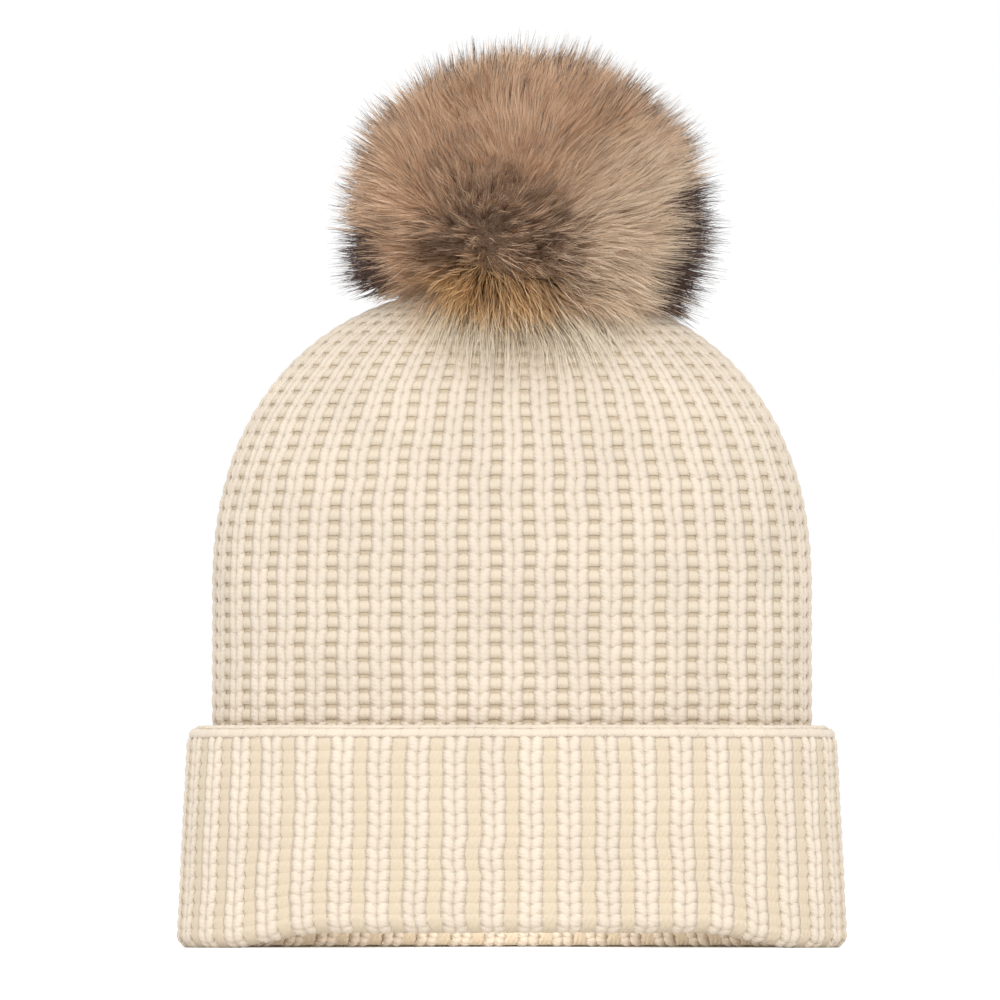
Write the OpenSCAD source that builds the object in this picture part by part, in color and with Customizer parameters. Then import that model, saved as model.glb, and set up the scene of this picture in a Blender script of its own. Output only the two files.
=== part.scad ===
// Pom pom beanie: a ribbed knit hat with a turned-up cuff and a fur pom held on by a press stud.
// Millimetres, +Z up, front towards -Y, origin on the floor under the middle of the head opening.

/* [Knit body] */
// Width of the body across the front
body_w = 208; // [190:1:225]
// Depth of the body from front to back
body_d = 114; // [104:1:140]
// Height of the crown before it is drawn in at the middle
dome_h = 231; // [215:1:250]
// Height at which the sides start to curve in
dome_start = 123; // [110:1:135]
// Thickness of the knit
knit_t = 6; // [5:0.25:7]
// Number of ribs round the hat
rib_count = 46; // [40:2:52]
// Depth of the valleys between the ribs of the body
body_rib = 2.2; // [1:0.1:3]
// Squareness of the hat seen from above, where 2 is an ellipse
plan_power = 2.4; // [2:0.1:2.8]
// Squareness of the crown seen from the front, where 2 is an ellipse
dome_power = 2.3; // [2:0.1:2.6]

/* [Drawn-in crown] */
// Radius of the hole that the gathering yarn closes round
crown_hole_r = 7.2; // [6.8:0.1:9]
// How far the gathering pulls the middle of the crown down
dimple_depth = 11.5; // [9:0.5:13]
// Radius of the pulled-down area
dimple_r = 36; // [32:1:42]
// Radius of the gathering yarn
gather_yarn_r = 1.2; // [0.8:0.1:1.5]
// Radius of the felt patch inside the crown
patch_r = 12; // [10:0.5:16]
// Thickness of the felt patch
patch_t = 1.6; // [1:0.1:2.5]

/* [Cuff] */
// Height of the turned-up cuff
cuff_h = 77; // [60:1:85]
// Thickness of the turned-up knit
cuff_t = 8; // [6:0.5:9]
// How much further the hem stands out than the top of the cuff
cuff_flare = 4; // [2:0.5:6]
// Depth of the stripes between the ribs of the cuff
cuff_rib = 1.8; // [1:0.1:2.5]
// Height of the folded hem
hem_h = 8; // [7:0.5:10]
// Radius of the two bottom corners of the hem
hem_round = 4.5; // [3:0.5:5]
// How far the front hem lifts off the floor
hem_lift = 5.5; // [0:0.5:8]
// Width of the lifted stretch of the front hem
hem_lift_w = 200; // [180:5:200]
// Width of the level middle of that stretch
hem_lift_flat = 130; // [100:5:150]
// Height at which the lift has faded out
hem_lift_h = 45; // [35:1:60]

/* [Back seam] */
// Radius of the linked seam ridge
seam_r = 1.8; // [1.2:0.1:2.5]
// Height of the top of the seam
seam_top = 190; // [170:1:200]

/* [Press stud] */
// Radius of both halves of the press stud
snap_r = 7; // [6:0.25:7.5]
// Thickness of the sewn flanges
flange_t = 1; // [0.8:0.1:1.4]
// Radius of the stud's head
head_r = 2.4; // [2:0.1:2.8]
// Height of the stud's head
head_h = 1.4; // [1:0.1:1.8]
// Radius of the stud's neck
neck_r = 1.9; // [1.5:0.1:1.9]
// Height of the stud's neck
neck_h = 1.6; // [1.2:0.1:2]
// Radius of the spring ring's wire
wire_r = 0.3; // [0.2:0.05:0.35]
// Gap in the spring ring, in degrees
ring_gap = 40; // [20:5:60]
// Radius of the sewing holes
sew_hole_r = 0.8; // [0.6:0.05:1]
// Distance of the sewing holes from the middle
sew_hole_at = 5.6; // [5:0.1:5.8]
// Radius of the thread in the sewing holes
thread_r = 0.6; // [0.4:0.05:0.6]
// Radius of the bundle of thread that carries the stud
shank_r = 2; // [1.5:0.1:2.2]

/* [Pom] */
// Diameter of the pom over the tips of its hair
pom_d = 122; // [110:1:130]
// How far the thin tips of the hair stand out of the dense fur
fur_tips = 3; // [1:0.5:5]
// Height of the fur's upper half, as a share of its radius
fur_height = 0.97; // [0.9:0.01:1.05]
// Fullness of the fur's lower half, where 2 is round
fur_power = 2.5; // [2:0.1:3]
// Diameter of the stuffed ball under the fur
core_d = 52; // [46:1:58]
// How far the fur's widest part lies under the stuffed ball's centre
fur_drop = 1; // [0:0.5:3]
// Thickness of the fur's knitted backing
backing_t = 1.2; // [0.8:0.1:2]
// How far under the ball's centre its gathered bottom lies
neck_drop = 24; // [20:0.5:25]
// How far under the fur's widest part its lower rim lies
fur_rim_drop = 23.5; // [20:0.5:26]
// Width of the rim's flat edge
fur_rim_w = 1.5; // [0.5:0.5:4]
// How far the underside of the fur rises inside the rim
fur_hollow_h = 7; // [6:0.5:10]
// Radius of the flat middle of the underside
fur_hollow_r = 33; // [30:1:40]
// Radius of the felt disc under the pom
disc_r = 12; // [10:0.5:13]
// Thickness of the felt disc
disc_t = 1.6; // [1:0.1:2]
// Radius of the drawstring in the pom's neck
drawstring_r = 0.6; // [0.4:0.05:0.8]

/* [Clearances] */
// Gap between soft pieces that lie on each other
seat = 0.3; // [0.2:0.05:0.5]
// Gap under the stud's flange, which lets it tilt
tilt_gap = 2.3; // [2:0.1:3]
// Gap between the moving halves of the press stud
snap_gap = 0.3; // [0.2:0.05:0.5]
// Running clearance between the spring ring and the stud's head
ring_clear = 0.05; // [0.02:0.01:0.1]

/* [Hidden] */
$fn = 64;

// Colours
cream = "#f0e4d0";
cream_shade = "#e6d7bd";
felt = "#e9dcc4";
steel = "#b9bcc0";
thread_white = "#f4ede0";
fur_tan = "#b58e68";
fur_backing = "#6f5a48";
fill_white = "#f7f5f0";

// Sampling of the knit: points to a rib, and how the outline is measured
points_per_rib = 3;
ring_points = rib_count * points_per_rib;
outline_steps = 240;
half_w = body_w / 2;
half_d = body_d / 2;

function smooth(t) = let (c = max(0, min(1, t))) c * c * (3 - 2 * c);
function signed_power(v, e) = sign(v) * pow(abs(v), e);

// A point of the hat's outline seen from above, with the given half width and half depth
function plan_point(angle, w, d, power) =
    [w * signed_power(cos(angle), 2 / power), d * signed_power(sin(angle), 2 / power)];

// Angle as a function of the distance travelled round the outline
outline = [for (i = [0 : outline_steps]) plan_point(360 * i / outline_steps, half_w, half_d, plan_power)];
outline_lengths = [for (i = [1 : outline_steps]) norm(outline[i] - outline[i - 1])];
function running_sum(v) = [for (i = 0, s = 0; i <= len(v); s = s + (i < len(v) ? v[i] : 0), i = i + 1) s];
travelled = running_sum(outline_lengths);
girth = travelled[outline_steps];
angle_table = [for (i = [0 : outline_steps]) [travelled[i] / girth, 360 * i / outline_steps]];
function angle_at(share) = lookup(share, angle_table);

// The ribs start half a rib on, so that a valley lies at the middle of the front and of the back
function sample_share(j) = ((j / points_per_rib + 0.5) % rib_count) / rib_count;
function is_valley(j) = j % points_per_rib == 0;

// How far the front hem is lifted at a point
hem_lift_fall = (hem_lift_w - hem_lift_flat) / 2;
function lift_at(p, z) =
    p[1] < 0
        ? hem_lift * smooth((hem_lift_w / 2 - abs(p[0])) / hem_lift_fall) * (1 - smooth(z / hem_lift_h))
        : 0;

// One ring of knit. Valleys are drawn in by rib_depth, and small rings near the top turn round.
round_from = 0.45;
round_to = 0.12;
function roundness(share) = smooth((round_from - share) / (round_from - round_to));
function knit_ring(w, d, z, rib_depth) =
    let (r = roundness(w / half_w), depth = d + (w - d) * r, power = plan_power + (2 - plan_power) * r)
    [for (j = [0 : ring_points - 1])
        let (inset = is_valley(j) ? rib_depth : 0,
             p = plan_point(angle_at(sample_share(j)), w - inset, depth - inset, power))
        [p[0], p[1], z + lift_at(p, z)]];

// Height of the crown at a share of its full width, with the middle drawn down
function dimple_at(r) = dimple_depth * pow(max(0, 1 - pow(r / dimple_r, 2)), 2);
function crown_z(share, height, width) =
    dome_start + (height - dome_start) * pow(1 - pow(share, dome_power), 1 / dome_power)
    - dimple_at(share * width);

// Half width that the body has gained at a height, where it spreads into the cuff
function spread_at(z) = cuff_flare * max(0, 1 - z / cuff_h);

// Shares of the crown's width at which it has a ring, from the sides to the hole
side_shares = [for (a = [10 : 10 : 60]) pow(cos(a), 2 / dome_power)];
top_shares = [0.42, 0.34, 0.26, 0.18, 0.12];
inner_top_shares = [0.18, 0.34];
outer_hole_share = crown_hole_r / half_w;
inner_half_w = half_w - knit_t;
inner_half_d = half_d - knit_t;
inner_hole_share = crown_hole_r / inner_half_w;
inner_side_shares = [for (a = [20 : 20 : 60]) pow(cos(a), 2 / dome_power)];
outer_rim_z = crown_z(outer_hole_share, dome_h, half_w);
inner_rim_z = crown_z(inner_hole_share, dome_h - knit_t, inner_half_w);

// Heights of the rings of the straight part of the body
low_z = [hem_h + seat, cuff_h / 2, cuff_h, dome_start];

function reversed(v) = [for (i = [len(v) - 1 : -1 : 0]) v[i]];

// A closed skin round a loop of rings
module skin(rings) {
    count = len(rings);
    faces = [for (i = [0 : count - 1], j = [0 : ring_points - 1])
        let (n = (i + 1) % count, k = (j + 1) % ring_points,
             a = i * ring_points + j, b = n * ring_points + j,
             c = n * ring_points + k, d = i * ring_points + k)
        each [[a, b, c], [a, c, d]]];
    polyhedron([for (ring = rings) each ring], faces, convexity = 10);
}

// Places along the axis of the press stud, from the patch inside the crown to the pom
patch_top = inner_rim_z - seat;
shank_low = patch_top + seat + shank_r;
flange_low = outer_rim_z + tilt_gap;
shank_high = flange_low - seat - shank_r;
flange_high = flange_low + flange_t;
head_low = flange_high + neck_h;
head_high = head_low + head_h;
boss_low = flange_high + snap_gap;
boss_r = head_r + 2;
socket_high = head_high + snap_gap + flange_t;
disc_low = socket_high;
disc_high = disc_low + disc_t;
ball_z = disc_high + neck_drop;
fur_z = ball_z - fur_drop;
core_r = core_d / 2;
ring_r = head_r + ring_clear + wire_r;
ring_z = head_low - wire_r - ring_clear;

module at_z(z) { translate([0, 0, z]) children(); }

module sewing_holes(r, low, high) {
    for (a = [45 : 90 : 315]) rotate(a) translate([sew_hole_at, 0, low]) cylinder(r = r, h = high - low);
}

module torus(ring_radius, tube_radius, turn = 360) {
    rotate_extrude(angle = turn) translate([ring_radius, 0]) circle(tube_radius);
}

// The knit tube, from the fold up to the hole at the top of the crown
module knit_body() {
    outer = concat(
        [for (z = low_z) knit_ring(half_w + spread_at(z), half_d + spread_at(z), z, body_rib)],
        [for (s = concat(side_shares, top_shares, [outer_hole_share]))
            knit_ring(s * half_w, s * half_d, crown_z(s, dome_h, half_w), body_rib * min(1, s))]);
    inner = concat(
        [for (s = concat([inner_hole_share], inner_top_shares, reversed(inner_side_shares)))
            knit_ring(s * inner_half_w, s * inner_half_d, crown_z(s, dome_h - knit_t, inner_half_w), 0)],
        [for (z = reversed(low_z))
            let (s = spread_at(z)) knit_ring(inner_half_w + s, inner_half_d + s, z, 0)]);
    color(cream) skin(concat(outer, inner));
}

// The turned-up cuff with its folded hem. Each point of its section is [distance out from the body, height].
module folded_cuff() {
    out = seat + cuff_t;
    edge_r = cuff_t / 2;
    section = concat(
        [for (a = [-90 : 30 : 0]) [out - hem_round + hem_round * cos(a), hem_round + hem_round * sin(a)]],
        [for (s = [0.35, 0.65]) [out, cuff_h * s]],
        [for (a = [0 : 45 : 180]) [seat + edge_r + edge_r * cos(a), cuff_h - edge_r + edge_r * sin(a)]],
        [[seat, cuff_h / 2], [seat, hem_h], [-knit_t, hem_h]],
        [for (a = [180 : 30 : 270]) [hem_round - knit_t + hem_round * cos(a), hem_round + hem_round * sin(a)]]);
    ribbed = function (p) p[0] > seat + edge_r && p[1] > hem_round ? cuff_rib : 0;
    color(cream) skin([for (p = section)
        let (s = spread_at(p[1]) + p[0]) knit_ring(half_w + s, half_d + s, p[1], ribbed(p))]);
}

// The linked seam up the inside of the back wall, as a tube of eight sides
module back_seam() {
    sides = 8;
    stand_off = seam_r + seat;
    wall = concat(
        [for (z = low_z) [z, inner_half_d + spread_at(z)]],
        [for (s = inner_side_shares) [crown_z(s, dome_h - knit_t, inner_half_w), s * inner_half_d]]);
    heights = concat([for (p = wall) if (p[0] < seam_top) p[0]], [seam_top]);
    path = [for (z = heights) [lookup(z, wall) - stand_off, z]];
    points = [for (p = path, k = [0 : sides - 1])
        [seam_r * cos(360 * k / sides), p[0] + seam_r * sin(360 * k / sides), p[1]]];
    walls = [for (i = [0 : len(path) - 2], k = [0 : sides - 1])
        let (n = (k + 1) % sides, a = i * sides + k, b = (i + 1) * sides + k,
             c = (i + 1) * sides + n, d = i * sides + n)
        each [[a, b, c], [a, c, d]]];
    last = (len(path) - 1) * sides;
    ends = [[for (k = [0 : sides - 1]) k], [for (k = [sides - 1 : -1 : 0]) last + k]];
    color(cream_shade) polyhedron(points, concat(walls, ends), convexity = 4);
}

// The yarn that draws the crown closed
module gather_yarn() {
    color(cream_shade) at_z((outer_rim_z + inner_rim_z) / 2)
        torus(crown_hole_r - seat - gather_yarn_r, gather_yarn_r);
}

// The felt patch that backs the stud's thread inside the crown
module crown_patch() {
    color(felt) at_z(patch_top - patch_t) cylinder(r = patch_r, h = patch_t);
}

// The bundle of thread between the patch and the stud, rounded at both ends so that it can lean
module thread_shank() {
    color(thread_white) {
        at_z(shank_low) cylinder(r = shank_r, h = shank_high - shank_low);
        at_z(shank_low) sphere(shank_r);
        at_z(shank_high) sphere(shank_r);
    }
}

// The stud half of the press stud, sewn to the hat
module snap_stud() {
    color(steel) difference() {
        union() {
            at_z(flange_low) cylinder(r = snap_r, h = flange_t);
            at_z(flange_low) cylinder(r = neck_r, h = flange_t + neck_h);
            at_z(head_low) cylinder(r = head_r, h = head_h);
        }
        sewing_holes(sew_hole_r, flange_low - 1, flange_high + 1);
    }
}

// The thread in the stud's sewing holes
module stud_stitches() {
    color(thread_white) sewing_holes(thread_r, flange_low, flange_high);
}

// The split wire ring that grips the stud inside the socket
module snap_spring() {
    color(steel) at_z(ring_z) rotate(ring_gap / 2) torus(ring_r, wire_r, 360 - ring_gap);
}

// The socket half of the press stud, sewn under the pom
module snap_socket() {
    bore_r = head_r + snap_gap;
    groove_r = ring_r + wire_r + snap_gap;
    groove_h = 2 * (wire_r + snap_gap);
    color(steel) difference() {
        union() {
            at_z(boss_low) cylinder(r = boss_r, h = socket_high - boss_low);
            at_z(socket_high - flange_t) cylinder(r = snap_r, h = flange_t);
        }
        at_z(boss_low - 1) cylinder(r = bore_r, h = head_high + snap_gap - boss_low + 1);
        at_z(ring_z - groove_h / 2) cylinder(r = groove_r, h = groove_h);
        sewing_holes(sew_hole_r, socket_high - flange_t - 1, socket_high + 1);
    }
}

// The thread in the socket's sewing holes
module socket_stitches() {
    color(thread_white) sewing_holes(thread_r, socket_high - flange_t, socket_high);
}

// The felt disc that closes the bottom of the pom
module pom_base_disc() {
    color(felt) at_z(disc_low) cylinder(r = disc_r, h = disc_t);
}

// The drawstring in the neck of the pom's backing
neck_hole_r = sqrt(pow(core_r - backing_t, 2) - pow(neck_drop, 2));
module pom_drawstring() {
    color(thread_white) at_z(disc_high + drawstring_r)
        torus(neck_hole_r - seat - drawstring_r, drawstring_r);
}

// The fur's knitted backing, gathered into a ball with a flat bottom
module pom_backing() {
    color(fur_backing) difference() {
        at_z(ball_z) sphere(core_r);
        at_z(ball_z) sphere(core_r - backing_t);
        at_z(ball_z - core_r - 1) cylinder(r = core_r, h = core_r - neck_drop + 1);
    }
}

// The stuffing inside the backing
module pom_filling() {
    rise = 2 * drawstring_r + seat;
    color(fill_white) difference() {
        at_z(ball_z) sphere(core_r - backing_t - seat);
        at_z(ball_z - core_r - 1) cylinder(r = core_r, h = core_r - neck_drop + 1 + rise);
    }
}

// Half the outline of the dense fur: a low dome over a fuller lower half, and an underside that is hollow, so
// that the pom can tilt over the crown
fur_r = pom_d / 2 - fur_tips;
dome_steps = 9;
swell_steps = 4;
function swell_r(drop) = fur_r * pow(1 - pow(drop / fur_r, fur_power), 1 / fur_power);
fur_dome = [for (i = [0 : dome_steps - 1])
    let (a = 90 * (1 - i / dome_steps)) [fur_r * cos(a), fur_height * fur_r * sin(a)]];
fur_swell = [for (i = [0 : swell_steps]) let (drop = fur_rim_drop * i / swell_steps) [swell_r(drop), -drop]];
fur_rim_r = swell_r(fur_rim_drop) - fur_rim_w;
fur_hollow_z = fur_hollow_h - fur_rim_drop;
fur_underside = [[fur_rim_r, -fur_rim_drop], [fur_hollow_r, fur_hollow_z], [0, fur_hollow_z]];

// The fur round the backing
module pom_fur() {
    color(fur_tan) difference() {
        at_z(fur_z) rotate_extrude() polygon(concat(fur_dome, fur_swell, fur_underside));
        at_z(ball_z) sphere(core_r + seat);
    }
}

knit_body();
folded_cuff();
back_seam();
gather_yarn();
crown_patch();
thread_shank();
snap_stud();
stud_stitches();
snap_spring();
snap_socket();
socket_stitches();
pom_base_disc();
pom_drawstring();
pom_backing();
pom_filling();
pom_fur();
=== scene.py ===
"""Pom pom beanie: knit stitches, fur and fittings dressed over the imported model."""

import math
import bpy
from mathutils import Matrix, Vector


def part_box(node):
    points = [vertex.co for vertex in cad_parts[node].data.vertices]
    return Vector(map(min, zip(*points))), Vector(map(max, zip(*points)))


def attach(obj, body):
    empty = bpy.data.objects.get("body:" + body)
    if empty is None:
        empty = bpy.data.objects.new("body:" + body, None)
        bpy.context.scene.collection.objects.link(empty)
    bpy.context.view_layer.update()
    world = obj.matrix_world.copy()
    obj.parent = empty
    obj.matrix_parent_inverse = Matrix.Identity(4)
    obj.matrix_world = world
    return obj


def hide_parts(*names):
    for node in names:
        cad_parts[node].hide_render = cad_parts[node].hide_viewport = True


bl_info = {
    "name": "Pom pom beanie",
    "version": (1, 0, 0),
    "blender": (4, 5, 0),
    "location": "View3D > Sidebar > Beanie",
    "description": "Knits the hat, grows the fur pom and sets up a plain stage",
    "category": "Object",
}

import bmesh
import bpy
import numpy as np
from bpy.props import FloatProperty, FloatVectorProperty, IntProperty, PointerProperty
from mathutils import Vector

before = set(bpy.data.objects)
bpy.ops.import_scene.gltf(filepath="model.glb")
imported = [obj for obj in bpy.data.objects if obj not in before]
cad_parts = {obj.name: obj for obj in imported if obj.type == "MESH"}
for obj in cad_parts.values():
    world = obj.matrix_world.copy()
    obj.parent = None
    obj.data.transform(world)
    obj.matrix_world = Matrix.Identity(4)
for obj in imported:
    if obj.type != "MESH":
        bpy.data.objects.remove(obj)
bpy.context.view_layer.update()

# Sizes of the hat's form, in metres, as the model's source has them
HALF_W = 0.104
HALF_D = 0.057
DOME_START = 0.123
DOME_H = 0.231
PLAN_POWER = 2.4
DOME_POWER = 2.3
KNIT_T = 0.006
HOLE_R = 0.0072
DIMPLE_DEPTH = 0.0115
DIMPLE_R = 0.036
ROUND_FROM, ROUND_TO = 0.45, 0.12
CUFF_FLARE = 0.004
CUFF_T = 0.008
SEAT = 0.0003
HEM_ROUND = 0.0045
HEM_LIFT = 0.0055
HEM_LIFT_W = 0.200
HEM_LIFT_FLAT = 0.130
HEM_LIFT_H = 0.045
CORE_R = 0.026
BACKING_T = 0.0012
SEW_HOLE_AT = 0.0056

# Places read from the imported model
CUFF_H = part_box("folded_cuff")[1].z
CORE_CENTRE = Vector((0, 0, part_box("pom_backing")[1].z - CORE_R))

# Knit: how far the yarn stands out of the solid, and where the body's stitches start under the cuff's edge
BODY_RELIEF = 0.0006
CUFF_RELIEF = 0.0009
TUCKED_IN = 0.016
# How far the walls behind the stitches are set in, and how far the body's inside is
BODY_WALL, CUFF_WALL, INSIDE_WALL = 0.0013, 0.0010, 0.0008
PURL_DEPTH = 0.0016
# The leaf of the cuff that is folded to the inside: its top, and the ends and depth of the wall behind it
LEAF_TOP = 0.022
LEAF_WALL_TOP = 0.0215
LEAF_WALL_LOW = HEM_ROUND * 2 - 0.0007
LEAF_WALL_T = 0.0034
# A leg of a stitch: its heights at both ends and its arch between them
LEG_BASE_Z, LEG_TOP_Z, LEG_ARCH = 0.0002, -0.0001, 0.0005

# The fur leans to the right: the middle of its tips, and half its width and height in shares of its reach
FUR_MIDDLE = CORE_CENTRE + Vector((0.005, -0.001, 0.004))
FUR_WIDTH = 1.07
FUR_HEIGHT = 0.95
GOLDEN_ANGLE = math.pi * (3 - math.sqrt(5))
# A hair's curls: how fine they are and how wide at the tip, and how it tapers
CURL_SCALE, CURL_WIDTH = 55.0, 0.012
TAPER, TAPER_POWER = 0.88, 3.2

# Zones of the fur, as directions of its tips from the pom's middle
WHORL = (-0.19, -0.91, -0.37)
GOLDEN = (-0.20, -0.64, -0.74)
# The way of the side of the fur where light falls, which is painted paler as painted light
PAINTED_LIGHT_WAY = (0.78, -0.60, -0.15)
# Heights of the top of the dark tufts at the sides, of their corners and of the cream hair over the crown
SIDE_TUFT_TOP = 0.262
SIDE_CORNER_TOP = 0.245
CREAM_TOP = 0.217

# Photograph: real size of a pixel, the pixel of the hat's middle line and the pixel row of the floor
PIXEL = 0.000345
MIDDLE_X, FLOOR_Y, IMAGE = 512, 948, 1000

BAKE_MAP = "OFBake"
HALF_GREY = (0.5, 0.5, 0.5)
WHITE = (1, 1, 1, 1)


class KnitSettings(bpy.types.PropertyGroup):
    """Sizes and colours of the knit."""

    ribs: IntProperty(name="Ribs", description="Ribs round the body", default=46, min=20)
    cuff_ribs: IntProperty(name="Cuff ribs", description="Ribs round the cuff", default=44, min=20)
    body_row: FloatProperty(
        name="Body row", description="Height of a row of the body", default=0.0053, unit="LENGTH"
    )
    cuff_row: FloatProperty(
        name="Cuff row", description="Height of a row of the cuff", default=0.0043, unit="LENGTH"
    )
    yarn: FloatProperty(
        name="Yarn", description="Half the thickness of the yarn", default=0.0019, unit="LENGTH"
    )
    colour: FloatVectorProperty(
        name="Colour", description="Cream of the yarn", subtype="COLOR", default=(0.74, 0.645, 0.53)
    )
    # Painted shade: the darker colour laid deep in the knit, where shade falls between the stitches
    painted_shade: FloatVectorProperty(
        name="Shade", description="Colour deep in the knit", subtype="COLOR", default=(0.69, 0.58, 0.43)
    )


class FurSettings(bpy.types.PropertyGroup):
    """Sizes and colours of the pom's fur."""

    hairs: IntProperty(name="Hairs", description="Hairs in one layer of fur", default=7600, min=100)
    reach: FloatProperty(
        name="Reach", description="Distance of the tips from the middle", default=0.0600, unit="LENGTH"
    )
    thickness: FloatProperty(
        name="Thickness", description="Half the thickness of a hair", default=0.00023, unit="LENGTH"
    )
    root: FloatVectorProperty(
        name="Root", description="Colour at the roots", subtype="COLOR", default=(0.86, 0.57, 0.38)
    )
    middle: FloatVectorProperty(
        name="Middle", description="Tan of the hair's length", subtype="COLOR", default=(1.0, 0.735, 0.52)
    )
    tip: FloatVectorProperty(
        name="Tip", description="Dark brown of the tips", subtype="COLOR", default=(0.11, 0.070, 0.060)
    )
    streak: FloatVectorProperty(
        name="Streak", description="Brown round the whorl", subtype="COLOR", default=(0.13, 0.054, 0.021)
    )
    gold: FloatVectorProperty(
        name="Gold", description="Golden hair low on the pom", subtype="COLOR", default=(1.0, 0.695, 0.365)
    )
    # Painted light: the paler tan painted on the side of the fur where light falls
    painted_light_side: FloatVectorProperty(
        name="Pale", description="Pale tan of the lighter side", subtype="COLOR", default=(1.0, 0.83, 0.65)
    )
    cream: FloatVectorProperty(
        name="Cream", description="Cream hair over the crown", subtype="COLOR", default=(1.0, 0.92, 0.76)
    )


class FittingSettings(bpy.types.PropertyGroup):
    """Colours of the small fittings."""

    felt: FloatVectorProperty(
        name="Felt", description="Colour of the felt discs", subtype="COLOR", default=(0.80, 0.70, 0.55)
    )
    thread: FloatVectorProperty(
        name="Thread", description="Colour of the thread", subtype="COLOR", default=(0.88, 0.82, 0.72)
    )
    metal: FloatVectorProperty(
        name="Metal", description="Colour of the press stud", subtype="COLOR", default=(0.62, 0.61, 0.59)
    )
    backing: FloatVectorProperty(
        name="Backing", description="Colour of the backing", subtype="COLOR", default=(0.16, 0.10, 0.065)
    )
    stuffing: FloatVectorProperty(
        name="Stuffing", description="Colour of the stuffing", subtype="COLOR", default=(0.9, 0.89, 0.86)
    )


class StageSettings(bpy.types.PropertyGroup):
    """The floor and the camera."""

    floor: FloatVectorProperty(
        name="Floor", description="Colour of the floor", subtype="COLOR", default=(0.88, 0.88, 0.88)
    )
    distance: FloatProperty(
        name="Distance", description="Distance of the camera from the hat", default=8.0, unit="LENGTH"
    )
    height: FloatProperty(
        name="Height", description="Height of the camera over the floor", default=0.03, unit="LENGTH"
    )


def settings():
    return bpy.context.scene.beanie


# Shape of the hat


def smooth_step(t):
    t = np.clip(t, 0, 1)
    return t * t * (3 - 2 * t)


def signed_power(v, e):
    return np.sign(v) * np.abs(v) ** e


def circle(count):
    """Angles of count points round a circle."""
    return np.linspace(0, 2 * math.pi, count, endpoint=False)


def plan_angles(shares):
    """Angles round the hat's outline, seen from above, at shares of its girth."""
    angles = np.linspace(0, 2 * math.pi, 1441)
    x = HALF_W * signed_power(np.cos(angles), 2 / PLAN_POWER)
    y = HALF_D * signed_power(np.sin(angles), 2 / PLAN_POWER)
    steps = np.linalg.norm(np.diff(np.stack([x, y], 1), axis=0), axis=1)
    travelled = np.concatenate([[0], np.cumsum(steps)])
    return np.interp(shares, travelled / travelled[-1], angles)


def hem_lift(x, y, z):
    """How far the front hem is lifted at a point."""
    fall = (HEM_LIFT_W - HEM_LIFT_FLAT) / 2
    across = smooth_step((HEM_LIFT_W / 2 - np.abs(x)) / fall)
    return np.where(y < 0, HEM_LIFT * across * (1 - smooth_step(z / HEM_LIFT_H)), 0)


def knit_ring(shares, w, d, z):
    """One ring of the hat of half width w and half depth d at height z. Small rings turn round."""
    r = smooth_step((ROUND_FROM - w / HALF_W) / (ROUND_FROM - ROUND_TO))
    power = PLAN_POWER + (2 - PLAN_POWER) * r
    angles = plan_angles(shares)
    x = w * signed_power(np.cos(angles), 2 / power)
    y = (d + (w - d) * r) * signed_power(np.sin(angles), 2 / power)
    return np.stack([x, y, z + hem_lift(x, y, np.full_like(x, z))], 1)


def crown_height(share, height, width):
    dome = (height - DOME_START) * (1 - share**DOME_POWER) ** (1 / DOME_POWER)
    dimple = DIMPLE_DEPTH * max(0, 1 - (share * width / DIMPLE_R) ** 2) ** 2
    return DOME_START + dome - dimple


def body_spread(z):
    """How far the body has spread into the cuff at a height."""
    return CUFF_FLARE * max(0, 1 - z / CUFF_H)


def body_meridian(low, inset, steps):
    """(half width, half depth, height) up the body from height low to the hole, set in from its outside."""
    w, d, h = HALF_W - inset, HALF_D - inset, DOME_H - inset
    levels = np.linspace(low, DOME_START, steps // 3)[:-1]
    last = math.acos((HOLE_R / w) ** (DOME_POWER / 2))
    shares = [math.cos(a) ** (2 / DOME_POWER) for a in np.linspace(0, last, steps)]
    straight = [(w + body_spread(z), d + body_spread(z), z) for z in levels]
    return straight + [(s * w, s * d, crown_height(s, h, w)) for s in shares]


def cuff_section(inset, steps):
    """(distance out from the body, height) from inside the fold, round the hem and up to the edge."""
    out, edge = SEAT + CUFF_T - inset, CUFF_T / 2 - inset
    hem = HEM_ROUND - inset
    inner = -KNIT_T + inset
    top = CUFF_H - CUFF_T / 2
    turn = np.linspace(0, math.pi / 2, steps)
    inside = [(inner, z) for z in np.linspace(LEAF_TOP, HEM_ROUND, steps)[:-1]]
    fold_in = [(inner + hem - hem * math.cos(a), HEM_ROUND - hem * math.sin(a)) for a in turn]
    fold_out = [(out - hem + hem * math.sin(a), HEM_ROUND - hem * math.cos(a)) for a in turn]
    face = [(out, z) for z in np.linspace(HEM_ROUND, top, 4 * steps)[1:-1]]
    roll = [(SEAT + CUFF_T / 2 + edge * math.cos(a), top + edge * math.sin(a)) for a in 2 * turn]
    return inside + fold_in + fold_out + face + roll


def body_rings(meridian, columns):
    shares = np.linspace(0, 1, columns + 1)
    return np.array([knit_ring(shares, w, d, z) for w, d, z in meridian])


def cuff_rings(section, columns):
    spread = [(body_spread(z) + out, z) for out, z in section]
    return body_rings([(HALF_W + s, HALF_D + s, z) for s, z in spread], columns)


def climbed(rings):
    """Mean distance climbed up to each ring of a stack."""
    steps = np.linalg.norm(np.diff(rings, axis=0), axis=2).mean(1)
    return np.concatenate([[0], np.cumsum(steps)])


def outward(rings):
    """Unit normals of a grid of rings that runs upwards on the outside."""
    up = np.gradient(rings, axis=0)
    wrapped = np.concatenate([rings[:, -2:-1], rings, rings[:, 1:2]], axis=1)
    across = (wrapped[:, 2:] - wrapped[:, :-2]) / 2
    normals = np.cross(across, up)
    return normals / np.maximum(np.linalg.norm(normals, axis=2, keepdims=True), 1e-12)


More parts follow.
